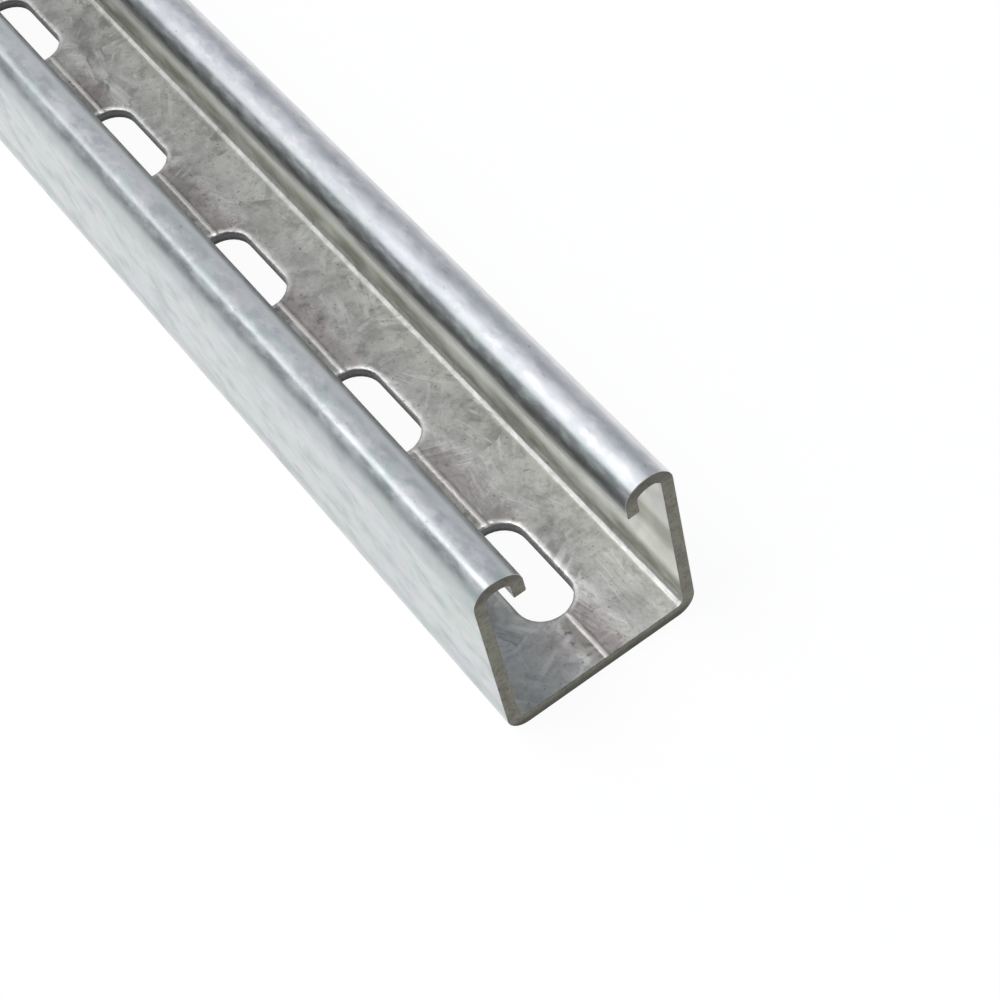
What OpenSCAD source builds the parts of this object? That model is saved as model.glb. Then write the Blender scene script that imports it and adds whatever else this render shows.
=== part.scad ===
// Slotted strut channel: steel strip, rolled into a channel whose lips turn in,
// with one row of slots punched along its web.
//
// The channel lies on its web with the mouth up. X runs along the stock, Y across
// it and Z up. The origin is under the middle of the web, halfway along the stock.

/* [Stock] */
// Length that the stock is cut to
channel_length = 1000; // [200:50:1500]
// Width over the outside of the two flanges
channel_w = 41; // [34:0.5:62]
// Height from the back of the web to the tops of the lips
channel_h = 41; // [21:0.5:83]
// Thickness of the strip
strip_t = 2.5; // [1.5:0.1:3]

/* [Lips] */
// Width that each lip covers, from the outside of its flange to its nose
lip_w = 10; // [9:0.25:11.5]
// Depth from the top of a lip to the edge of the strip
lip_depth = 7; // [6.5:0.25:10]
// Radius on the two corners of the strip's edge
strip_edge_r = 0.6; // [0.2:0.1:0.7]

/* [Bends] */
// Inside radius of the bends between the web and the flanges
web_bend_r = 1.5; // [0.5:0.25:4]
// Inside radius of the two bends in each lip
lip_bend_r = 1.5; // [0.5:0.25:2.5]

/* [Slots] */
// Length of a slot, end to end
slot_l = 25; // [14:0.5:34]
// Width of a slot
slot_w = 11; // [7:0.5:14]
// Distance from one slot's centre to the next
slot_pitch = 50; // [40:5:100]
// Distance from the +X end of the stock to the centre of the first slot
first_slot = 26; // [22:1:60]
// Least metal left between the last slot and the -X end of the stock
end_land = 8; // [4:1:20]

/* [Hidden] */
$fn = 72;

zinc_grey = [0.72, 0.74, 0.74];

// A lip's two bends meet nose to nose at most: a wider bend is held to half the lip
lip_r = min(lip_bend_r, lip_w / 2 - strip_t);

// Straight stretches left between the bends
half_web = channel_w / 2 - web_bend_r - strip_t;
flange = channel_h - web_bend_r - lip_r - 2 * strip_t;
lip_top = lip_w - 2 * (lip_r + strip_t);
lip_leg = lip_depth - lip_r - strip_t;

// The strip's path through the rolls, from the middle of the web to the edge of a lip.
// Each step is a straight stretch and the inside radius of the square bend after it.
strip_path = [
    [half_web, web_bend_r],
    [flange, lip_r],
    [lip_top, lip_r]
];

slot_count = 1 + floor((channel_length - first_slot - slot_l / 2 - end_land) / slot_pitch);

// Quarter turn of the strip to the left, round an inside radius
module bend(inside_r) {
    outside_r = inside_r + strip_t;
    translate([0, outside_r])
        intersection() {
            difference() {
                circle(outside_r);
                circle(inside_r);
            }
            translate([0, -outside_r]) square(outside_r);
        }
}

// Last straight stretch, whose end has both corners rounded
module strip_edge(length) {
    square([length - strip_edge_r, strip_t]);
    translate([0, strip_edge_r]) square([length, strip_t - 2 * strip_edge_r]);
    for (y = [strip_edge_r, strip_t - strip_edge_r])
        translate([length - strip_edge_r, y]) circle(strip_edge_r);
}

// Section of the strip from one step of its path on: each step starts where the last
// bend leaves off, with the strip's outer side on y = 0 and its inner side to the left
module strip(step = 0) {
    if (step < len(strip_path)) {
        straight = strip_path[step][0];
        inside_r = strip_path[step][1];
        outside_r = inside_r + strip_t;
        if (straight > 0) square([straight, strip_t]);
        translate([straight, 0]) {
            bend(inside_r);
            translate([outside_r, outside_r]) rotate(90) strip(step + 1);
        }
    } else {
        strip_edge(lip_leg);
    }
}

// Section across the stock, web down
module section() {
    strip();
    mirror([1, 0]) strip();
}

// Outline of one slot, long way along x
module slot_outline() {
    straight = slot_l - slot_w;
    square([straight, slot_w], center = true);
    for (x = [-straight / 2, straight / 2])
        translate([x, 0]) circle(slot_w / 2);
}

// Row of slots, cut right through the web
module slots() {
    for (i = [0 : slot_count - 1])
        translate([channel_length / 2 - first_slot - i * slot_pitch, 0, -strip_t])
            linear_extrude(3 * strip_t) slot_outline();
}

module channel() {
    color(zinc_grey)
        difference() {
            translate([-channel_length / 2, 0, 0])
                rotate([90, 0, 90]) linear_extrude(channel_length) section();
            slots();
        }
}

channel();
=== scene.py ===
"""Slotted strut channel: one length of galvanised stock in a plain, pale studio.

The mesh is made in the order in which the real channel is: a flat web is punched with its
slots, the bends, flanges and lips are rolled up from its long edges, the strip gets its
thickness, and then its edges are rounded, sunk or sawn. Lengths are in millimetres until the
finished mesh is put into metres.
"""

import logging
import math
from dataclasses import dataclass, field
from enum import IntEnum
from typing import Any, Callable, Iterable, Mapping, Optional, Sequence, Union

import bmesh
import bpy
from mathutils import Matrix, Vector


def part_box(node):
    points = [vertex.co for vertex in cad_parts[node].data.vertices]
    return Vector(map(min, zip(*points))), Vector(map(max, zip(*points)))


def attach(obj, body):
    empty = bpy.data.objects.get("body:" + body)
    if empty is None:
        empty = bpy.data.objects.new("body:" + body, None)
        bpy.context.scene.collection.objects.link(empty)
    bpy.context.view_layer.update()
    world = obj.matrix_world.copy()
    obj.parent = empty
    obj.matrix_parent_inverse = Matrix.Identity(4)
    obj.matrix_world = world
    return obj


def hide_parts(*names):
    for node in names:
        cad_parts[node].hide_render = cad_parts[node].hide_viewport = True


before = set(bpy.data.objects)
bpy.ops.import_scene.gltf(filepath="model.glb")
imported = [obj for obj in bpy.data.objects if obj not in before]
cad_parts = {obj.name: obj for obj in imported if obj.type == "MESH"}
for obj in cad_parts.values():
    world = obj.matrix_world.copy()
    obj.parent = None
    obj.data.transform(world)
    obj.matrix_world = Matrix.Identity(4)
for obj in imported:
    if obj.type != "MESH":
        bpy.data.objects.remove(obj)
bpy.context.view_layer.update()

MM = 0.001
TOUCH = 0.01  # Places this near to each other, in millimetres, count as the same.
MERGE = 0.001  # Vertices this near to each other, in millimetres, are merged.
DECIMALS = 3  # Decimals that sizes and places are read to, in millimetres.
LOG = logging.getLogger("strut_channel")

Socket = bpy.types.NodeSocket
Value = Union[float, Sequence[float], Socket]

EVEN = (1.0, 1.0, 1.0)


# ---------------------------------------------------------------------------
# Colours and nodes
# ---------------------------------------------------------------------------


def linear(hex_colour: str) -> tuple[float, float, float, float]:
    """Turns an sRGB hex colour into the linear values that a shader takes.

    Args:
        hex_colour: Colour written as "#RRGGBB".

    Returns:
        Linear red, green and blue, and an alpha of 1.
    """
    parts = [int(hex_colour.lstrip("#")[i:i + 2], 16) / 255.0 for i in (0, 2, 4)]
    red, green, blue = (
        p / 12.92 if p <= 0.04045 else ((p + 0.055) / 1.055) ** 2.4 for p in parts
    )
    return red, green, blue, 1.0


def add(
    tree: bpy.types.NodeTree,
    kind: str,
    inputs: Optional[Mapping[Union[int, str], Value]] = None,
    **settings: Any,
) -> bpy.types.Node:
    """Adds a node with its settings, values and links.

    Args:
        tree: Node tree that the node goes into.
        kind: Node type, without its "ShaderNode" prefix.
        inputs: What goes into each input, by name or number: a number, a colour or a socket.
        settings: Properties of the node itself.

    Returns:
        The new node.
    """
    node = tree.nodes.new("ShaderNode" + kind)
    for name, value in settings.items():
        setattr(node, name, value)
    for key, value in (inputs or {}).items():
        socket = node.inputs[key]
        if isinstance(value, Socket):
            tree.links.new(value, socket)
        else:
            socket.default_value = value
    return node


def per_mm(size_mm: float) -> float:
    """Gives the pattern scale, on coordinates in metres, for features of a size in mm."""
    return 1.0 / (size_mm * MM)


# ---------------------------------------------------------------------------
# The channel's shape
# ---------------------------------------------------------------------------


class Zone(IntEnum):
    """Faces of the strip that are finished apart, in the order of the material slots."""

    OUTSIDE = 0
    INSIDE = 1
    SAWN = 2
    PUNCHED = 3


class Side(IntEnum):
    """The two long edges that the channel is rolled up from."""

    NEAR = -1
    FAR = 1


@dataclass(frozen=True)
class RollPass:
    """One pass of the rolls: a straight stretch of strip and the square bend after it.

    Attributes:
        straight: Length of the stretch.
        radius: Outside radius of the bend, or 0 where the strip ends.
        parts: Number of parts in the stretch, between the two narrow ones that keep it flat.
    """

    straight: float
    radius: float
    parts: int = 1

    def cuts(self, keeper: float) -> list[float]:
        """Lengths that the stretch is drawn in.

        Args:
            keeper: Width of the narrow part beside each bend.

        Returns:
            The lengths, in order.
        """
        middle = (self.straight - 2 * keeper) / self.parts
        return [keeper] + [middle] * self.parts + [keeper]


@dataclass(frozen=True)
class ChannelSizes:
    """Sizes of the channel in millimetres, from its drawing.

    Attributes:
        length: Length of the stock.
        width: Width over the flanges.
        height: Height from the back of the web to the tops of the lips.
        strip: Thickness of the strip.
        lip_width: Width from the outside of a flange to its lip's nose.
        lip_depth: Depth from the top of a lip to the strip's edge.
        web_bend: Inside radius between web and flange.
        lip_bend: Inside radius of a lip's two bends.
        slot_length: Length of a slot, end to end.
        slot_width: Width of a slot.
        slot_pitch: Distance between slots' centres.
        first_slot: Distance from the +X end to the first slot's centre.
    """

    length: float
    width: float
    height: float
    strip: float = 2.5
    lip_width: float = 10.0
    lip_depth: float = 7.0
    web_bend: float = 1.5
    lip_bend: float = 1.5
    slot_length: float = 25.0
    slot_width: float = 11.0
    slot_pitch: float = 50.0
    first_slot: float = 26.0

    @classmethod
    def of_node(cls, node: str) -> "ChannelSizes":
        """Takes the length, width and height from a CAD node.

        Args:
            node: Name of the node.

        Returns:
            The channel's sizes.
        """
        low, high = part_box(node)
        length, width, height = (round(extent / MM, DECIMALS) for extent in high - low)
        return cls(length=length, width=width, height=height)

    @property
    def web_radius(self) -> float:
        """Outside radius between web and flange."""
        return self.web_bend + self.strip

    @property
    def lip_radius(self) -> float:
        """Outside radius of a lip's bends."""
        return self.lip_bend + self.strip

    @property
    def half_web(self) -> float:
        """Flat part of the web, each side of its middle."""
        return self.width / 2 - self.web_radius

    @property
    def slot_straight(self) -> float:
        """Straight part of a slot's long side."""
        return self.slot_length - self.slot_width

    @property
    def slot_centres(self) -> list[float]:
        """Sets out the row of slots.

        Returns:
            X of each slot's centre, from the +X end on.
        """
        room = self.length - self.first_slot - self.slot_length / 2
        count = 1 + int(room // self.slot_pitch)
        return [self.length / 2 - self.first_slot - i * self.slot_pitch for i in range(count)]

    def passes(self) -> list[RollPass]:
        """Sets out the roll passes.

        Returns:
            The passes, from the edge of the flat web to the strip's edge.
        """
        return [
            RollPass(self.height - self.web_radius - self.lip_radius, self.lip_radius, 5),
            RollPass(self.lip_width - 2 * self.lip_radius, self.lip_radius, 4),
            RollPass(self.lip_depth - self.lip_radius, 0.0, 1),
        ]


@dataclass
class RolledChannel:
    """The channel, made from a flat web to a rolled, rounded and sawn length of stock.

    Attributes:
        sizes: The channel's sizes.
        keeper: Width of the narrow strip of faces that keeps a flat face flat beside a bend.
        bend_steps: Faces round a quarter bend.
        slot_steps: Faces round each end of a slot.
        sink_width: Width of the rim that the punch drew down round a slot.
        sink_depth: Depth of that rim at the slot.
        edge_round: Radius on the strip's edges, at the ends of the lips.
        rim_round: Radius on a slot's inner rim.
        rim_rings: Rings of faces across the drawn-down rim, outside its radius.
        rim_room: How far those rings reach past what they are for, as a factor.
        burr_round: Width of the broken edge on the back of a slot.
        sawn_break: Width of the broken edge round a sawn end.
        crest: Distance from the middle plane to the highest line of a lip's top.
        droop: How far the rolls leave a lip drooping from its crest towards its nose.
        droop_width: Width of that droop.
        crown: Fall from the crest towards the flange, for the square of the distance.
        short: How far the +X end's cut lies inside the stock's full length, at the web's back.
        lean: How much further inside it lies for each millimetre of Y and of Z.
        shortest: Shortest edge that is kept.
        crease: Angle in degrees from which an edge is shaded as a sharp one.
        mesh: The mesh under construction.
    """

    sizes: ChannelSizes
    keeper: float = 0.3
    bend_steps: int = 12
    slot_steps: int = 16
    sink_width: float = 1.4
    sink_depth: float = 0.2
    edge_round: float = 0.6
    rim_round: float = 0.3
    rim_rings: int = 5
    rim_room: float = 1.2
    burr_round: float = 0.15
    sawn_break: float = 0.12
    crest: float = 16.1
    droop: float = 0.31
    droop_width: float = 3.6
    crown: float = 0.05
    short: float = 0.62
    lean: tuple[float, float] = (0.010, 0.0055)
    shortest: float = 0.08
    crease: float = 34.0
    mesh: bmesh.types.BMesh = field(default_factory=bmesh.new)

    def settle(self) -> None:
        """Puts the mesh's parts in order of place, as operators leave them in a chance order."""
        for row, place in (
            (self.mesh.verts, lambda vert: vert.co),
            (self.mesh.edges, lambda edge: edge.verts[0].co + edge.verts[1].co),
            (self.mesh.faces, lambda face: face.calc_center_median()),
        ):
            order = sorted(
                row, key=lambda part, place=place: [round(c, DECIMALS) for c in place(part)])
            for rank, part in enumerate(order):
                part.index = rank
            row.sort()

    # -- flat web ----------------------------------------------------------

    def walk(self, vert: bmesh.types.BMVert, step: float, count: int) -> bmesh.types.BMVert:
        """Draws a straight run of edges along the stock from a vertex.

        Args:
            vert: Vertex that the run starts from.
            step: Length of each edge, with its sign.
            count: Number of edges.

        Returns:
            The run's last vertex.
        """
        for _ in range(count):
            vert = bmesh.ops.extrude_vert_indiv(self.mesh, verts=[vert])["verts"][0]
            bmesh.ops.translate(self.mesh, verts=[vert], vec=(step, 0, 0))
        return vert

    def close_loop(self, before: set[bmesh.types.BMEdge]) -> list[bmesh.types.BMEdge]:
        """Joins the two ends of a new loop where they meet.

        Args:
            before: Edges that were there before the loop.

        Returns:
            The loop's edges.
        """
        edges = [e for e in self.mesh.edges if e not in before]
        verts = list(dict.fromkeys(v for e in edges for v in e.verts))
        bmesh.ops.remove_doubles(self.mesh, verts=verts, dist=MERGE)
        return [e for e in self.mesh.edges if e not in before]

    def slot_loop(self) -> list[bmesh.types.BMEdge]:
        """Draws the outline of a slot.

        Returns:
            The outline's edges.
        """
        before = set(self.mesh.edges)
        radius, half = self.sizes.slot_width / 2, self.sizes.slot_straight / 2
        vert = bmesh.ops.create_vert(self.mesh, co=(0, -radius, 0))["vert"][0]
        for side in (1, -1):
            vert = self.walk(vert, side * half / 2, 2)
            turned = bmesh.ops.spin(
                self.mesh, geom=[vert], cent=(side * half, 0, 0), axis=(0, 0, 1),
                angle=math.pi, steps=self.slot_steps, use_merge=False,
            )
            vert = next(g for g in turned["geom_last"] if isinstance(g, bmesh.types.BMVert))
            vert = self.walk(vert, -side * half / 2, 2)
        return self.close_loop(before)

    def past_slot(self, point: Vector, step: float) -> Vector:
        """Moves a point straight away from the slot round the origin.

        Args:
            point: The point.
            step: Distance.

        Returns:
            Its new place.
        """
        half = self.sizes.slot_straight / 2
        axis = Vector((max(-half, min(half, point.x)), 0, 0))
        return point + (point - axis).normalized() * step

    def on_cell(self, point: Vector) -> Vector:
        """Finds a point's place on the edge of the rectangle of web round one slot.

        Args:
            point: A point of the outermost ring round the slot.

        Returns:
            The place, in the same direction from the slot.
        """
        straight, half = self.sizes.slot_straight / 2, self.sizes.slot_pitch / 2
        turn = math.degrees(math.atan2(abs(point.y), max(abs(point.x) - straight, 0.0))) / 45
        x = min(abs(point.x), straight) + (half - straight) * min(2 - turn, 1.0)
        y = (self.sizes.half_web - self.keeper) * min(turn, 1.0)
        return Vector((math.copysign(x, point.x), math.copysign(y, point.y), 0))

    def spread(self, edges: list[bmesh.types.BMEdge],
               place: Callable[[Vector], Vector]) -> list[bmesh.types.BMEdge]:
        """Makes a ring of web outside a loop.

        Args:
            edges: The loop's edges.
            place: Gives the new loop's place for each point of the old one.

        Returns:
            The new loop's edges.
        """
        drawn = bmesh.ops.extrude_edge_only(self.mesh, edges=edges)["geom"]
        verts = {g for g in drawn if isinstance(g, bmesh.types.BMVert)}
        for vert in verts:
            vert.co = place(vert.co)
        return [g for g in drawn if isinstance(g, bmesh.types.BMEdge) and verts.issuperset(g.verts)]

    def punch_web(self) -> None:
        """Makes the flat web with all its slots, cell by cell, with rings of faces round each."""
        edges = self.slot_loop()
        first = self.rim_room * self.rim_round
        ring = (self.rim_room * self.sink_width - first) / self.rim_rings
        for step in [first] + [ring] * self.rim_rings:
            edges = self.spread(edges, lambda point, step=step: self.past_slot(point, step))
        self.spread(edges, self.on_cell)
        cell = self.mesh.verts[:] + self.mesh.edges[:] + self.mesh.faces[:]
        centres = self.sizes.slot_centres
        bmesh.ops.translate(self.mesh, verts=self.mesh.verts[:], vec=(centres[0], 0, 0))
        for x in centres[1:]:
            copy = bmesh.ops.duplicate(self.mesh, geom=cell)["geom"]
            verts = [g for g in copy if isinstance(g, bmesh.types.BMVert)]
            bmesh.ops.translate(self.mesh, verts=verts, vec=(x - centres[0], 0, 0))
        bmesh.ops.remove_doubles(self.mesh, verts=self.mesh.verts[:], dist=TOUCH)
        half, pitch = self.sizes.length / 2, self.sizes.slot_pitch / 2
        for vert in self.mesh.verts:
            if abs(vert.co.x - centres[0] - pitch) < TOUCH:
                vert.co.x = half
            elif abs(vert.co.x - centres[-1] + pitch) < TOUCH:
                vert.co.x = -half

    # -- rolling -----------------------------------------------------------

    def draw(self, edges: list[bmesh.types.BMEdge], move: Vector) -> list[bmesh.types.BMEdge]:
        """Draws the strip on from a row of edges.

        Args:
            edges: The row that it is drawn from.
            move: Way and distance.

        Returns:
            The new row of edges.
        """
        return self.spread(edges, lambda point: point + move)

    def bend(self, edges: list[bmesh.types.BMEdge], forward: Vector, radius: float,
             axis: Vector) -> list[bmesh.types.BMEdge]:
        """Bends the strip square, towards the inside of the channel.

        Args:
            edges: The row that the bend starts from.
            forward: Way that the strip runs there.
            radius: Outside radius.
            axis: Axis of the bend, along the stock.

        Returns:
            The row of edges after the bend.
        """
        centre = edges[0].verts[0].co + axis.cross(forward) * radius
        bent = bmesh.ops.spin(
            self.mesh, geom=edges, cent=centre, axis=axis, angle=math.pi / 2,
            steps=self.bend_steps, use_merge=False,
        )
        return [g for g in bent["geom_last"] if isinstance(g, bmesh.types.BMEdge)]

    def roll_side(self, side: Side) -> None:
        """Rolls up the web's edge, the flange and the lip of one side.

        Args:
            side: Which side.
        """
        start = side * (self.sizes.half_web - self.keeper)
        edges = [e for e in self.mesh.edges if all(abs(v.co.y - start) < TOUCH for v in e.verts)]
        forward, axis = Vector((0, int(side), 0)), Vector((int(side), 0, 0))
        edges = self.draw(edges, forward * self.keeper)
        edges = self.bend(edges, forward, self.sizes.web_radius, axis)
        forward = axis.cross(forward)
        for roll in self.sizes.passes():
            for length in roll.cuts(self.keeper):
                edges = self.draw(edges, forward * length)
            if roll.radius:
                edges = self.bend(edges, forward, roll.radius, axis)
                forward = axis.cross(forward)

    def crown_lips(self) -> None:
        """Lets the tops of the lips droop towards the mouth and round off towards the flanges."""
        for vert in self.mesh.verts:
            high = (vert.co.z - self.sizes.height) / self.sizes.lip_radius + 1
            if high > 0:
                beyond = abs(vert.co.y) - self.crest
                part = max(0.0, min(-beyond / self.droop_width, 1.0))
                flank = max(0.0, min(beyond, 1.0))
                vert.co.z -= high * (self.droop * part ** 2 * (3 - 2 * part)
                                     + self.crown * flank * (2 * beyond - flank))

    def give_thickness(self) -> None:
        """Turns the faces outwards, gives the strip its thickness and sets each face's zone."""
        bmesh.ops.recalc_face_normals(self.mesh, faces=self.mesh.faces[:])
        back = next(f for f in self.mesh.faces if f.calc_center_median().z < TOUCH)
        if back.normal.z > 0:
            bmesh.ops.reverse_faces(self.mesh, faces=self.mesh.faces[:])
        outside = set(self.mesh.faces)
        grown = bmesh.ops.solidify(
            self.mesh, geom=self.mesh.faces[:], thickness=self.sizes.strip
        )["geom"]
        inside = {g for g in grown if isinstance(g, bmesh.types.BMFace)}
        self.mesh.normal_update()
        end = self.sizes.length / 2 - TOUCH
        for face in self.mesh.faces:
            if face in outside:
                face.material_index = Zone.OUTSIDE
            elif face in inside:
                face.material_index = Zone.INSIDE
            elif abs(face.calc_center_median().x) > end:
                face.material_index = Zone.SAWN
            elif face.calc_center_median().z > self.sizes.height / 2:
                face.material_index = Zone.OUTSIDE
            else:
                face.material_index = Zone.PUNCHED

    # -- edges -------------------------------------------------------------

    def slot_distance(self, point: Vector) -> float:
        """Measures how far a point is from the nearest slot's outline, seen along Z.

        Args:
            point: The point.

        Returns:
            The distance, below 0 inside a slot.
        """
        along = min(abs(point.x - x) for x in self.sizes.slot_centres)
        beyond = max(along - self.sizes.slot_straight / 2, 0.0)
        return math.hypot(beyond, point.y) - self.sizes.slot_width / 2

    def sink_rims(self) -> None:
        """Draws the web down round each slot, as the punch did on its way in."""
        for vert in self.mesh.verts:
            if abs(vert.co.z - self.sizes.strip) < TOUCH and abs(vert.co.y) < self.sizes.half_web:
                near = 1 - self.slot_distance(vert.co) / self.sink_width
                if near > 0:
                    vert.co.z -= self.sink_depth * near ** 2

    def between(self, first: Iterable[bmesh.types.BMFace],
                second: Iterable[bmesh.types.BMFace]) -> list[bmesh.types.BMEdge]:
        """Finds the edges where two sets of faces meet.

        Args:
            first: One set of faces.
            second: The other set, with no face of the first.

        Returns:
            The edges between them.
        """
        one, other = set(first), set(second)
        return [e for e in self.mesh.edges
                if one.intersection(e.link_faces) and other.intersection(e.link_faces)]

    def zone(self, zone: Zone) -> list[bmesh.types.BMFace]:
        """Finds the faces of a zone."""
        return [f for f in self.mesh.faces if f.material_index == zone]

    def round_off(self, edges: list[bmesh.types.BMEdge], radius: float, segments: int) -> None:
        """Rounds or breaks a set of edges.

        Args:
            edges: The edges.
            radius: Radius, or width of a broken edge.
            segments: Faces across the rounding.
        """
        bmesh.ops.bevel(
            self.mesh, geom=edges, offset=radius, offset_type="OFFSET", segments=segments,
            profile=0.5, affect="EDGES", clamp_overlap=True, material=-1,
        )
        self.settle()
        self.mesh.normal_update()

    def work_edges(self) -> None:
        """Rounds the strip's edges and the slots' rims, and breaks the sawn edges."""
        lip_end = self.sizes.height - self.sizes.lip_depth
        high = [f for f in self.zone(Zone.OUTSIDE) + self.zone(Zone.INSIDE)
                if f.calc_center_median().z > lip_end - TOUCH]
        tips = [f for f in high if f.normal.z < -0.9 and f.calc_center_median().z < lip_end + TOUCH]
        legs = [f for f in high if abs(f.normal.y) > 0.9]
        self.round_off(self.between(tips, legs), self.edge_round, 3)
        self.round_off(self.between(self.zone(Zone.PUNCHED), self.zone(Zone.INSIDE)),
                       self.rim_round, 3)
        self.round_off(self.between(self.zone(Zone.PUNCHED), self.zone(Zone.OUTSIDE)),
                       self.burr_round, 1)
        sawn = self.zone(Zone.SAWN)
        self.round_off(self.between(sawn, set(self.mesh.faces) - set(sawn)), self.sawn_break, 1)

    def saw_off(self) -> None:
        """Leans the +X end's cut back, as a saw that isn't quite square leaves it."""
        end = self.sizes.length / 2 - 0.5
        for vert in self.mesh.verts:
            if vert.co.x > end:
                vert.co.x -= Vector(self.lean).dot(vert.co.yz) + self.short

    def build(self, name: str) -> bpy.types.Object:
        """Makes the channel and puts it into the scene.

        Args:
            name: Name of the new object.

        Returns:
            The channel, at the origin, with its place in its mesh.
        """
        self.punch_web()
        for side in Side:
            self.roll_side(side)
        bmesh.ops.remove_doubles(self.mesh, verts=self.mesh.verts[:], dist=MERGE)
        self.settle()
        self.crown_lips()
        self.give_thickness()
        self.settle()
        self.sink_rims()
        self.mesh.normal_update()
        self.work_edges()
        bmesh.ops.dissolve_degenerate(self.mesh, dist=self.shortest, edges=self.mesh.edges[:])
        self.settle()
        self.saw_off()
        for face in self.mesh.faces:
            face.smooth = True
        for edge in self.mesh.edges:
            edge.smooth = edge.calc_face_angle(0.0) < math.radians(self.crease)
        bmesh.ops.scale(self.mesh, verts=self.mesh.verts[:], vec=(MM, MM, MM))
        data = bpy.data.meshes.new(name)
        self.mesh.to_mesh(data)
        self.mesh.free()
        piece = bpy.data.objects.new(name, data)
        bpy.context.scene.collection.objects.link(piece)
        return piece


# ---------------------------------------------------------------------------
# Finishes
# ---------------------------------------------------------------------------


@dataclass
class Surface:
    """A metal surface under construction, coloured and embossed layer by layer.

    Attributes:
        material: The material.
        tree: Its node tree.
        shader: Its one Principled shader.
        where: Place on the piece, in metres.
        across: Place across the stock.
        out: Distance from the stock's middle plane.
        up: Height above the back of the web.
        colour: Colour of the layers so far.
        normal: Relief of the layers so far.
    """

    material: bpy.types.Material
    tree: bpy.types.NodeTree
    shader: bpy.types.Node
    where: Socket
    across: Socket
    out: Socket
    up: Socket
    colour: Value
    normal: Optional[Socket] = None

    @classmethod
    def of_metal(cls, name: str, colour: str, metallic: float) -> "Surface":
        """Starts a metal.

        Args:
            name: Name of the material.
            colour: Colour of its lowest layer.
            metallic: Share of bare metal in it.

        Returns:
            The surface, with its shader linked up.
        """
        material = bpy.data.materials.new(name)
        material.use_nodes = True
        tree = material.node_tree
        tree.nodes.clear()
        shader = add(tree, "BsdfPrincipled", {"Metallic": metallic})
        add(tree, "OutputMaterial", {"Surface": shader.outputs["BSDF"]})
        where = add(tree, "TexCoord").outputs["Object"]
        parts = add(tree, "SeparateXYZ", {"Vector": where}).outputs
        out = add(tree, "Math", {0: parts["Y"]}, operation="ABSOLUTE").outputs[0]
        return cls(material, tree, shader, where, parts["Y"], out, parts["Z"], linear(colour))

    def pattern(self, size: float, drawn: Sequence[float] = EVEN, detail: float = 3.0,
                start: float = 0.0) -> Socket:
        """Makes a soft irregular pattern.

        Args:
            size: Width of one patch of it in millimetres.
            drawn: Factors on X, Y and Z: below 1 draws the patches out along that axis.
            detail: Levels of finer detail.
            start: Shift that keeps one pattern from repeating another.

        Returns:
            The pattern, from 0 to 1 and mostly near 0.5.
        """
        placed = add(self.tree, "Mapping", {
            "Vector": self.where, "Location": (start, start, start), "Scale": drawn,
        })
        return add(self.tree, "TexNoise", {
            "Vector": placed.outputs["Vector"], "Scale": per_mm(size),
            "Detail": detail, "Roughness": 0.6,
        }).outputs["Fac"]

    def patches(self, size: float, levels: Sequence[float], drawn: Sequence[float] = EVEN,
                detail: float = 3.0, start: float = 0.0, least: float = 0.0) -> Socket:
        """Makes a mask of soft irregular patches.

        Args:
            size: Width of one patch in millimetres.
            levels: Levels of the pattern at which a patch starts and at which it is full.
            drawn: Factors on X, Y and Z, as for the pattern.
            detail: Levels of finer detail.
            start: Shift of the pattern.
            least: Strength between the patches.

        Returns:
            The mask, 1 in the patches.
        """
        return add(self.tree, "MapRange", {
            "Value": self.pattern(size, drawn, detail, start),
            "From Min": levels[0], "From Max": levels[1], "To Min": least,
        }, interpolation_type="SMOOTHSTEP").outputs["Result"]

    def stretch(self, place: Socket, rise: Optional[Sequence[float]] = None,
                fall: Optional[Sequence[float]] = None) -> Value:
        """Makes a mask over a stretch of the section, with soft ends.

        Args:
            place: What the stretch is set out on: across, out or up.
            rise: Where the mask starts and where it is full, in millimetres.
            fall: Where it starts to fall and where it is over.

        Returns:
            The mask, 1 inside the stretch.
        """
        ends = []
        for first, between in ((0.0, rise), (1.0, fall)):
            if between is not None:
                ends.append(add(self.tree, "MapRange", {
                    "Value": place, "From Min": between[0] * MM, "From Max": between[1] * MM,
                    "To Min": first, "To Max": 1.0 - first,
                }, interpolation_type="SMOOTHSTEP").outputs["Result"])
        return self.overlap(*ends)

    def overlap(self, *masks: Value) -> Value:
        """Finds where masks overlap.

        Args:
            masks: The masks; a plain number among them is their strength.

        Returns:
            The mask of their overlap.
        """
        result = masks[0]
        for mask in masks[1:]:
            result = add(self.tree, "Math", {0: result, 1: mask}, operation="MULTIPLY").outputs[0]
        return result

    def lay(self, colour: str, *masks: Value) -> None:
        """Lays a colour over the layers so far, where all its masks overlap.

        Args:
            colour: The colour.
            masks: Its masks; a plain number is its strength.
        """
        self.colour = add(self.tree, "Mix", {
            0: self.overlap(*masks), 6: self.colour, 7: linear(colour),
        }, data_type="RGBA", clamp_factor=True).outputs[2]

    def emboss(self, depth: float, *masks: Value) -> None:
        """Raises the surface, on top of the relief so far, where all the masks overlap.

        Args:
            depth: Height in millimetres.
            masks: The masks.
        """
        inputs: dict[Union[int, str], Value] = {
            "Height": self.overlap(*masks), "Distance": depth * MM, "Strength": 1.0,
        }
        if self.normal is not None:
            inputs["Normal"] = self.normal
        self.normal = add(self.tree, "Bump", inputs).outputs["Normal"]

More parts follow.
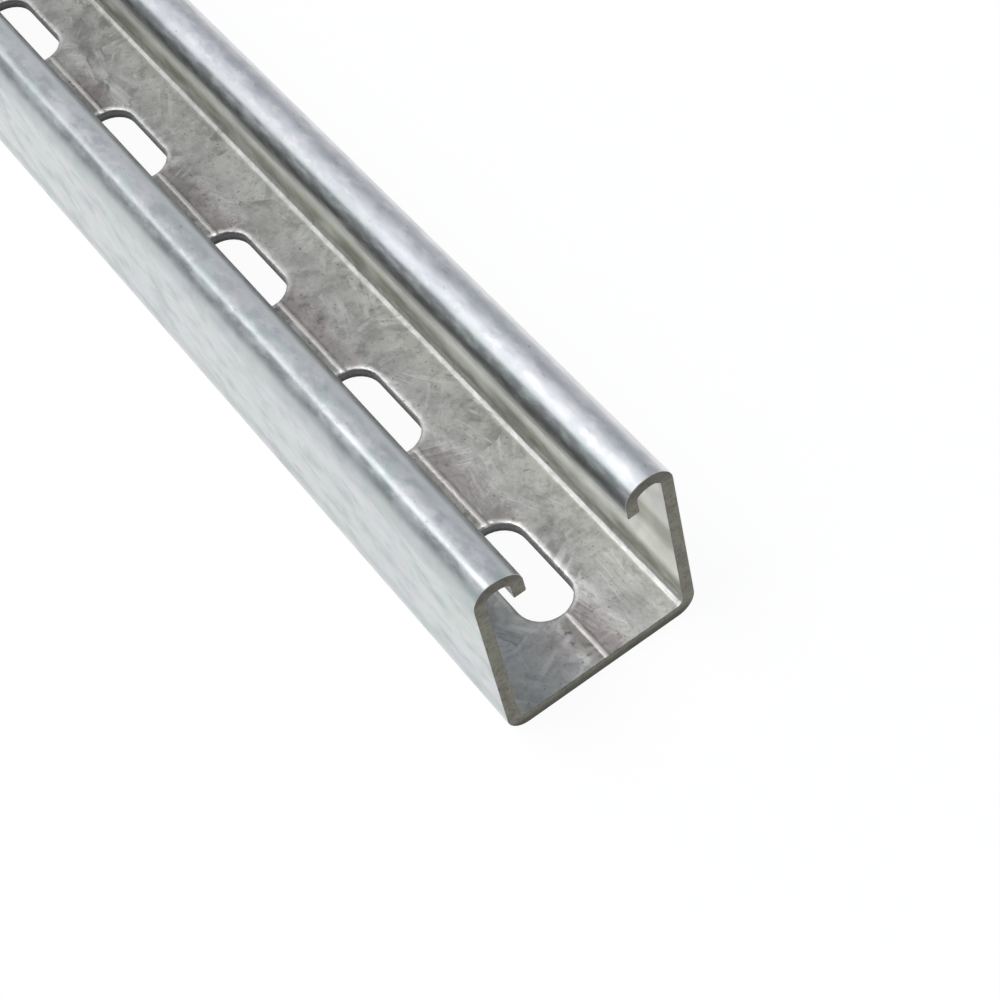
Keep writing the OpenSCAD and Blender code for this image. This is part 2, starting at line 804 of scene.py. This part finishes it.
    def finish(self, smooth: float, rough: float, mask: Socket) -> bpy.types.Material:
        """Links the layers to the shader, with a roughness that follows a mask.

        Args:
            smooth: Roughness where the mask is 0.
            rough: Roughness where it is 1.
            mask: The mask.

        Returns:
            The finished material.
        """
        roughness = add(self.tree, "MapRange", {"Value": mask, "To Min": smooth, "To Max": rough})
        self.tree.links.new(roughness.outputs["Result"], self.shader.inputs["Roughness"])
        self.tree.links.new(self.colour, self.shader.inputs["Base Color"])
        self.tree.links.new(self.normal, self.shader.inputs["Normal"])
        return self.material


@dataclass(frozen=True)
class RolledZinc:
    """Hot-dip galvanised steel on the outside of the strip, burnished by the rolls.

    Gives the eye a pale, faintly clouded grey with a soft silky sheen, longer marks where the
    rolls pressed the lips, and a dark band along one outer bend. Painted highlights lie along
    the lips and their outer bends, and painted shade on the lips' noses and low on the flanges.
    """

    name: str = "hot_dip_zinc_rolled_outside"
    zinc: str = "#D8DBDB"
    mint: str = "#CDD9D4"
    lilac: str = "#DAD6E0"
    cloud_and_shade: str = "#BAC0C1"
    lip: str = "#DEDFE0"
    bloom_and_highlight: str = "#F0EEEF"
    dark_grey: str = "#555B5E"
    nose: str = "#8F9293"

    def make(self) -> bpy.types.Material:
        """Makes the material.

        Returns:
            The material.
        """
        s = Surface.of_metal(self.name, self.zinc, 0.95)
        rolled = (0.45, 1.0, 1.0)
        s.lay(self.mint, s.patches(11, (0.44, 0.64), (0.8, 1.0, 1.0), start=0.3), 0.65)
        s.lay(self.lilac, s.patches(9, (0.48, 0.68), (0.8, 1.0, 1.0), start=1.7), 0.55)
        s.lay(self.cloud_and_shade, s.patches(6, (0.44, 0.72), (0.75, 1.0, 1.0), 6.0, 2.9), 0.9)
        # Painted shade: a darker band low on both flanges, above the bottom bend.
        s.lay(self.cloud_and_shade, s.stretch(s.up, (4.5, 6.5), (7.5, 10.5)), 0.5)
        # Darker over the top of the left flange, below the dark band on its bend.
        s.lay(self.cloud_and_shade, s.stretch(s.up, (33.0, 37.0)), s.stretch(s.across, fall=(-18, -16)), 0.5)
        lip = s.stretch(s.up, (39.8, 40.7))
        s.lay(self.lip, lip, 0.8)
        # Painted light over the top of the left lip.
        s.lay(self.bloom_and_highlight, lip, s.stretch(s.across, (-17.0, -15.5), (-12.5, -11.5)), 0.9)
        # Painted highlight along the top of the right flange and its outer bend.
        s.lay(self.bloom_and_highlight, s.stretch(s.up, (36.0, 38.0)), s.stretch(s.across, (18.3, 19.3)), 0.9)
        s.lay(self.cloud_and_shade, lip, s.patches(3.2, (0.42, 0.62), (0.6, 1.0, 1.0), 5.0, 3.5), 0.5)
        s.lay(self.lilac, lip, s.stretch(s.across, (5.0, 9.0)), 0.3)
        s.lay(self.mint, lip, s.patches(6, (0.5, 0.6), (0.6, 1.0, 1.0), start=4.7),
              s.stretch(s.across, fall=(-9.0, -5.0)), 0.5)
        s.lay(self.bloom_and_highlight, lip, s.patches(2.0, (0.5, 0.66), rolled, 4.0, 3.9), 0.6)
        s.lay(self.dark_grey, lip, s.patches(0.7, (0.64, 0.74), (0.4, 1.0, 1.0), 3.0, 4.1), 0.35)
        # A soft dark band along the left lip's outer bend, darker in patches.
        dark_bend_band = s.stretch(s.across, (-20.1, -18.6), (-17.9, -17.1))
        s.lay(self.dark_grey, dark_bend_band, s.stretch(s.up, (38.0, 39.4)),
              s.patches(2.6, (0.36, 0.66), rolled, 5.0, 5.3, least=0.6), 0.7)
        # Painted shade, in patches, on the lips' noses and the legs under them.
        patchy_nose_shade = s.patches(1.6, (0.3, 0.6), (0.35, 1.0, 1.0), 4.0, 6.7, least=0.5)
        s.lay(self.nose, s.stretch(s.out, fall=(11.7, 12.5)), s.stretch(s.up, (34.5, 37.5)), patchy_nose_shade)
        # Painted reflection: the lower ends of the lips' legs lighter.
        s.lay(self.bloom_and_highlight, s.stretch(s.out, fall=(11.0, 12.0)),
              s.stretch(s.up, (30.0, 31.0), (35.0, 36.5)))
        # Painted highlight along the nose of the left lip.
        s.lay(self.lip, s.stretch(s.across, (-14.0, -12.9), (-9.0, -8.0)),
              s.stretch(s.up, (36.5, 38.0)), 0.5)
        # Painted highlight: a pale band along the top of the right lip.
        s.lay(self.bloom_and_highlight, lip, s.stretch(s.across, (13.8, 14.8), (15.0, 16.2)), 0.4)
        s.emboss(0.08, s.pattern(22, (0.5, 1.0, 1.0), 1.0, 8.1))
        s.emboss(0.035, s.pattern(2.0, rolled, 3.0, 9.3))
        s.emboss(0.01, s.pattern(0.5, (0.6, 1.0, 1.0), 2.0, 10.9))
        return s.finish(0.38, 0.54, s.patches(2.5, (0.3, 0.7), (0.5, 1.0, 1.0), 5.0, 7.9))


@dataclass(frozen=True)
class SpangledZinc:
    """Hot-dip galvanised steel on the inside of the strip, as it left the bath.

    Gives the eye a duller grey with faint feathery zinc crystals, lumps and specks where drips
    gathered between the slots, and one raised line down the web. Painted highlights lie along
    that line, the inside corners and the slots' rims; painted shade lies on the web beside the
    line and in a band across the flanges, which are painted lighter above it.

    Attributes:
        sizes: The channel's sizes, which say where its slots are.
        name: Name of the material; the rest are the colours of its layers.
    """

    sizes: ChannelSizes
    name: str = "hot_dip_zinc_spangled_inside"
    zinc: str = "#E6E4E1"
    crystal_and_highlight: str = "#FCFBF9"
    dull: str = "#B2B2B1"
    blush_and_shade: str = "#B5A1A0"
    speck: str = "#56504F"
    olive: str = "#F4F6EB"
    stain: str = "#8F9282"
    corner_highlight: str = "#F6F6EE"
    ridge_highlight: str = "#F4EEEC"

    def spangle(self, s: Surface) -> tuple[Socket, Socket]:
        """Makes zinc crystals about 11 mm across, each with feathery lines of its own slant.

        Args:
            s: The surface.

        Returns:
            Masks of the pale crystals and of their feathery lines.
        """
        wander = add(s.tree, "TexNoise", {
            "Vector": s.where, "Scale": per_mm(7), "Detail": 2.0,
        }).outputs["Color"]
        bent = add(s.tree, "VectorMath", {0: wander, 1: (5 * MM, 5 * MM, 5 * MM), 2: s.where},
                   operation="MULTIPLY_ADD").outputs["Vector"]
        cell = add(s.tree, "TexVoronoi", {
            "Vector": bent, "Scale": per_mm(11),
        }, feature="F1")
        chance = add(s.tree, "SeparateColor", {"Color": cell.outputs["Color"]}).outputs
        slant = add(s.tree, "Math", {0: chance["Green"], 1: math.tau}, operation="MULTIPLY")
        turned = add(s.tree, "VectorRotate", {
            "Vector": s.where, "Angle": slant.outputs[0],
        }, rotation_type="Z_AXIS").outputs["Vector"]
        drawn = add(s.tree, "Mapping", {"Vector": turned, "Scale": (0.13, 1.0, 1.0)})
        feather = add(s.tree, "TexNoise", {
            "Vector": drawn.outputs["Vector"], "Scale": per_mm(1.7), "Detail": 2.0,
        }).outputs["Fac"]
        fine = add(s.tree, "MapRange", {"Value": feather, "From Min": 0.46, "From Max": 0.66},
                   interpolation_type="SMOOTHSTEP")
        return chance["Red"], fine.outputs["Result"]

    def from_slot(self, s: Surface) -> Socket:
        """Measures how far a place on the web is from the edge of the nearest slot.

        Args:
            s: The surface.

        Returns:
            The distance, in metres.
        """
        along = add(s.tree, "SeparateXYZ", {"Vector": s.where}).outputs["X"]
        for operation, length in (
            ("SUBTRACT", self.sizes.slot_centres[0]), ("PINGPONG", self.sizes.slot_pitch / 2),
            ("SUBTRACT", self.sizes.slot_straight / 2), ("MAXIMUM", 0.0),
        ):
            along = add(s.tree, "Math", {0: along, 1: length * MM}, operation=operation).outputs[0]
        place = add(s.tree, "CombineXYZ", {"X": along, "Y": s.out}).outputs["Vector"]
        reach = add(s.tree, "VectorMath", {0: place}, operation="LENGTH").outputs["Value"]
        return add(s.tree, "Math", {0: reach, 1: self.sizes.slot_width / 2 * MM},
                   operation="SUBTRACT").outputs[0]

    def make(self) -> bpy.types.Material:
        """Makes the material.

        Returns:
            The material.
        """
        s = Surface.of_metal(self.name, self.zinc, 0.95)
        pale, feather = self.spangle(s)
        s.lay(self.dull, s.patches(5, (0.42, 0.66), detail=4.0))
        s.lay(self.crystal_and_highlight, pale, 0.6)
        s.lay(self.crystal_and_highlight, feather, s.patches(12, (0.38, 0.56), start=0.4), 0.9)
        s.lay(self.dull, s.patches(1.3, (0.48, 0.7), detail=3.0, start=0.7), 0.45)
        # The drips gather along the middle of the web, which is the last part to drain.
        drips = s.overlap(s.patches(11, (0.42, 0.56), (0.7, 1.0, 1.0), 4.0, 1.1),
                          s.stretch(s.across, (-9.0, -3.0), (3.0, 9.0)))
        s.lay(self.blush_and_shade, drips, 0.45)
        s.lay(self.speck, drips, s.patches(1.4, (0.52, 0.72), start=2.3), 0.7)
        s.lay(self.speck, s.patches(0.9, (0.7, 0.76), detail=1.0, start=2.7), 0.5)
        # The flanges: a little yellower than the web and painted lighter, and darker low down, just
        # above the corner under them.
        wall = s.stretch(s.up, (3.5, 4.8))
        s.lay(self.olive, wall, 0.8)
        s.lay(self.stain, wall, s.stretch(s.up, fall=(7.5, 11.5)),
              s.patches(6, (0.3, 0.7), (0.5, 1.0, 1.0), start=3.1, least=0.4))
        # Painted shade in a band across the flanges' insides, and painted light above it.
        s.lay(self.stain, s.stretch(s.up, (16.0, 20.0), (23.0, 25.5)), 0.55)
        s.lay(self.crystal_and_highlight, s.stretch(s.up, (25.5, 28.0)), 0.7)
        floor = s.stretch(s.up, fall=(3.0, 4.0))
        # Painted highlight along the inside corner between the web and the flanges.
        s.lay(self.corner_highlight, s.stretch(s.out, (15.8, 17.2)), s.stretch(s.up, fall=(3.4, 4.1)),
              s.patches(1.2, (0.4, 0.5), start=3.3, least=0.4), 0.5)
        # Painted shade on the web: over its -Y half and on each side of the raised line down its
        # middle, browner on the +Y side of that line; and darker in a band towards the +Y flange.
        s.lay(self.dull, s.stretch(s.across, fall=(-7.0, -1.0)), floor, 0.35)
        s.lay(self.stain, s.stretch(s.across, (-2.0, -0.6), (0.2, 0.6)), floor, 0.35)
        s.lay(self.dull, s.stretch(s.across, (1.5, 2.0), (3.0, 5.0)), floor, 0.35)
        s.lay(self.blush_and_shade, s.stretch(s.across, (1.0, 1.8), (3.5, 6.0)), floor, 0.18)
        s.lay(self.dull, s.stretch(s.across, (6.5, 8.5), (12.0, 14.5)), floor, 0.25)
        # Painted highlight: a pale rim round each slot.
        s.lay(self.crystal_and_highlight, s.stretch(self.from_slot(s), (0.2, 0.5), (0.7, 1.5)),
              s.patches(3, (0.4, 0.58), start=6.1, least=0.25), 0.75)
        # Painted highlight along the crest of the raised line down the web.
        s.lay(self.ridge_highlight, s.stretch(s.across, (0.4, 0.75), (1.25, 1.6)), floor,
              s.patches(1.8, (0.35, 0.55), (0.5, 1.0, 1.0), 4.0, 3.7, least=0.6))
        s.emboss(0.12, s.pattern(16, (0.6, 1.0, 1.0), 1.0, 5.1))
        s.emboss(0.02, feather)
        s.emboss(0.05, s.pattern(1.4, start=2.3))
        s.emboss(0.07, s.stretch(s.across, (0.3, 1.1), (1.2, 2.0)), floor)
        s.emboss(0.16, s.stretch(s.out, fall=(17.2, 17.9)))
        return s.finish(0.38, 0.5, s.patches(4, (0.3, 0.7), detail=4.0, start=4.9))


@dataclass(frozen=True)
class SawnSteel:
    """Bare mild steel, cut by a band saw.

    Gives the eye a matt olive-brown grey with fine straight scratches across it.
    """

    name: str = "mild_steel_band_sawn"
    steel: str = "#7C7D71"
    stain: str = "#575046"
    bright: str = "#96938A"
    dark_and_shade: str = "#43413D"

    def make(self) -> bpy.types.Material:
        """Makes the material.

        Returns:
            The material.
        """
        s = Surface.of_metal(self.name, self.steel, 0.8)
        # A saw leaves about 0.2 mm between scratches: drawn at 0.35 mm, or they wouldn't show.
        lines = s.patches(0.35, (0.35, 0.7), (1.0, 0.15, 1.0), 1.0)
        s.lay(self.stain, s.patches(2.6, (0.42, 0.62), detail=4.0, start=1.3), 0.5)
        s.lay(self.bright, lines, 0.55)
        s.lay(self.stain, s.patches(0.7, (0.48, 0.7), start=2.1), 0.55)
        # Painted shade: the web's end face darker towards the floor.
        s.lay(self.dark_and_shade, s.stretch(s.up, fall=(0.7, 2.6)), 0.75)
        # Darker towards the tops of the lips' end faces.
        s.lay(self.dark_and_shade, s.stretch(s.up, (36.5, 39.0)), 0.5)
        s.emboss(0.03, lines)
        return s.finish(0.5, 0.65, lines)


@dataclass(frozen=True)
class PunchedSteel:
    """The wall of a punched slot: torn steel under a thin, dull skin of zinc.

    Gives the eye a dark matt grey edge round each slot: dull torn steel, darkened further as
    painted shade.
    """

    name: str = "galvanised_punched_wall"
    skin: str = "#737576"
    torn: str = "#3E3D3C"

    def make(self) -> bpy.types.Material:
        """Makes the material.

        Returns:
            The material.
        """
        s = Surface.of_metal(self.name, self.skin, 0.6)
        s.lay(self.torn, s.stretch(s.up, fall=(0.4, 1.6)), 0.8)
        rough = s.patches(0.6, (0.3, 0.7))
        s.emboss(0.02, rough)
        return s.finish(0.5, 0.7, rough)


# ---------------------------------------------------------------------------
# Studio
# ---------------------------------------------------------------------------


@dataclass(frozen=True)
class SoftLight:
    """A soft light that points at the shown end of the stock.

    Attributes:
        name: Name of the light.
        towards: Way to the light from the stock.
        distance: Distance in metres.
        width: Width in metres, level.
        height: Height in metres.
        power: Power in watts.
    """

    name: str
    towards: tuple[float, float, float]
    distance: float
    width: float
    height: float
    power: float

    def hang(self, aim: Vector) -> None:
        """Hangs the light.

        Args:
            aim: Point that it lights.
        """
        data = bpy.data.lights.new(self.name, "AREA")
        data.shape, data.size, data.size_y = "RECTANGLE", self.width, self.height
        data.energy = self.power
        lamp = bpy.data.objects.new(self.name, data)
        way = Vector(self.towards).normalized()
        lamp.location = aim + way * self.distance
        lamp.rotation_euler = way.to_track_quat("Z", "Y").to_euler()
        bpy.context.scene.collection.objects.link(lamp)


@dataclass(frozen=True)
class Viewpoint:
    """Where the camera stands.

    Attributes:
        aim: Point that it looks at, in metres.
        azimuth: Turn round the stock in degrees: 0 looks along +Y and 90 along -X.
        elevation: Height above the horizon in degrees.
        roll: Turn of the picture in degrees.
        distance: Distance from the aim in metres.
        lens: Focal length in millimetres, on a 36 mm sensor.
    """

    aim: tuple[float, float, float] = (0.45641, 0.00711, 0.0)
    azimuth: float = 67.358
    elevation: float = 51.749
    roll: float = 15.352
    distance: float = 0.45842
    lens: float = 88.60

    def place(self) -> None:
        """Makes the camera and puts it in its place."""
        data = bpy.data.cameras.new("camera")
        data.lens, data.sensor_width, data.clip_start = self.lens, 36.0, 0.01
        camera = bpy.data.objects.new("camera", data)
        turn, rise = math.radians(self.azimuth), math.radians(self.elevation)
        back = Vector((math.sin(turn) * math.cos(rise), -math.cos(turn) * math.cos(rise),
                       math.sin(rise)))
        upright = back.to_track_quat("Z", "Y").to_matrix().to_4x4()
        camera.matrix_world = (
            Matrix.Translation(Vector(self.aim) + back * self.distance)
            @ upright @ Matrix.Rotation(math.radians(-self.roll), 4, "Z")
        )
        bpy.context.scene.collection.objects.link(camera)
        bpy.context.scene.camera = camera


@dataclass(frozen=True)
class Studio:
    """The pale floor, the soft light and the camera.

    Attributes:
        viewpoint: Where the camera stands.
        lights: The soft lights.
        floor_size: Side of the floor in metres.
        floor_gap: Distance from the floor up to the stock, in metres.
        floor: Colour of the floor.
        low_sky: Colour of the surroundings at the horizon.
        high_sky: Colour of the surroundings overhead.
        shadow_share: Share of the floor's look that takes shadows; the rest is plain white.
        white: Strength of that white, just over 1 to make up for the share in shadow.
    """

    viewpoint: Viewpoint = Viewpoint()
    lights: tuple[SoftLight, ...] = (
        SoftLight("overhead", (-0.20, -0.30, 1.00), 1.6, 0.80, 0.80, 8.5),
        SoftLight("side", (-0.20, -1.00, 1.00), 1.6, 0.80, 0.80, 2.7),
        SoftLight("glint", (-0.50, -0.15, 1.00), 1.6, 0.30, 0.30, 0.9),
        SoftLight("far", (-1.40, -0.50, 1.00), 1.6, 0.80, 0.80, 1.6),
    )
    floor_size: float = 40.0
    floor_gap: float = 0.0003
    floor: str = "#F4F4F4"
    low_sky: str = "#F6F6F6"
    high_sky: str = "#999FA6"
    shadow_share: float = 0.10
    white: float = 1.03

    def lay_floor(self) -> None:
        """Lays the floor just under the stock."""
        mesh = bmesh.new()
        bmesh.ops.create_grid(mesh, x_segments=1, y_segments=1, size=self.floor_size / 2)
        bmesh.ops.translate(mesh, verts=mesh.verts[:], vec=(0, 0, -self.floor_gap))
        data = bpy.data.meshes.new("floor")
        mesh.to_mesh(data)
        mesh.free()
        floor = bpy.data.objects.new("floor", data)
        bpy.context.scene.collection.objects.link(floor)
        material = bpy.data.materials.new("white_paper_floor")
        material.use_nodes = True
        tree = material.node_tree
        tree.nodes.clear()
        seen = add(tree, "LightPath").outputs
        direct = add(tree, "Math", {0: seen["Is Camera Ray"], 1: seen["Is Glossy Ray"]},
                     operation="MAXIMUM")
        direct = add(tree, "Math", {0: direct.outputs[0], 1: seen["Is Transmission Ray"]},
                     operation="MAXIMUM")
        share = add(tree, "Math", {0: direct.outputs[0], 1: 1.0 - self.shadow_share},
                    operation="MULTIPLY")
        paper = add(tree, "BsdfDiffuse", {"Color": linear(self.floor)})
        white = add(tree, "Emission", {"Color": (1.0, 1.0, 1.0, 1.0), "Strength": self.white})
        mixed = add(tree, "MixShader", {
            0: share.outputs[0], 1: paper.outputs["BSDF"], 2: white.outputs["Emission"],
        })
        add(tree, "OutputMaterial", {"Surface": mixed.outputs["Shader"]})
        data.materials.append(material)

    def light_surroundings(self) -> None:
        """Makes the surroundings: a soft sky, and plain white where the camera sees it."""
        world = bpy.data.worlds.new("studio")
        world.use_nodes = True
        bpy.context.scene.world = world
        tree = world.node_tree
        tree.nodes.clear()
        way = add(tree, "TexCoord").outputs["Generated"]
        height = add(tree, "SeparateXYZ", {"Vector": way}).outputs["Z"]
        rise = add(tree, "MapRange", {"Value": height, "From Min": 0.0, "From Max": 0.6},
                   interpolation_type="SMOOTHSTEP")
        sky = add(tree, "Mix", {
            0: rise.outputs["Result"], 6: linear(self.low_sky), 7: linear(self.high_sky),
        }, data_type="RGBA")
        shown = add(tree, "Mix", {
            0: add(tree, "LightPath").outputs["Is Camera Ray"], 6: sky.outputs[2],
            7: (1.0, 1.0, 1.0, 1.0),
        }, data_type="RGBA")
        back = add(tree, "Background", {"Color": shown.outputs[2], "Strength": 1.0})
        add(tree, "OutputWorld", {"Surface": back.outputs["Background"]})

    def set_up(self) -> None:
        """Sets up the whole studio."""
        bpy.context.scene.view_settings.view_transform = "Standard"
        self.lay_floor()
        self.light_surroundings()
        for light in self.lights:
            light.hang(Vector(self.viewpoint.aim))
        self.viewpoint.place()
        LOG.info("studio: floor, %d lights, camera", len(self.lights))


# ---------------------------------------------------------------------------
# Putting it together
# ---------------------------------------------------------------------------


def dress(piece: bpy.types.Object, sizes: ChannelSizes) -> None:
    """Gives the channel its finishes and ties it to the CAD body that it stands for.

    Args:
        piece: The channel.
        sizes: Its sizes.
    """
    finishes = {
        Zone.OUTSIDE: RolledZinc(), Zone.INSIDE: SpangledZinc(sizes), Zone.SAWN: SawnSteel(),
        Zone.PUNCHED: PunchedSteel(),
    }
    for zone in Zone:
        piece.data.materials.append(finishes[zone].make())
        LOG.info("%s: %s wears %s", piece.name, zone.name.lower(), finishes[zone].name)
    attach(piece, "root")
    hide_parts("channel")


def main() -> None:
    """Builds the channel, its finishes and the studio."""
    logging.basicConfig(level=logging.INFO, format="%(name)s: %(message)s")
    sizes = ChannelSizes.of_node("channel")
    channel = RolledChannel(sizes).build("strut_channel")
    LOG.info("%s: %d slots, %d faces", channel.name, len(sizes.slot_centres),
             len(channel.data.polygons))
    dress(channel, sizes)
    Studio().set_up()


if __name__ == "__main__":
    main()
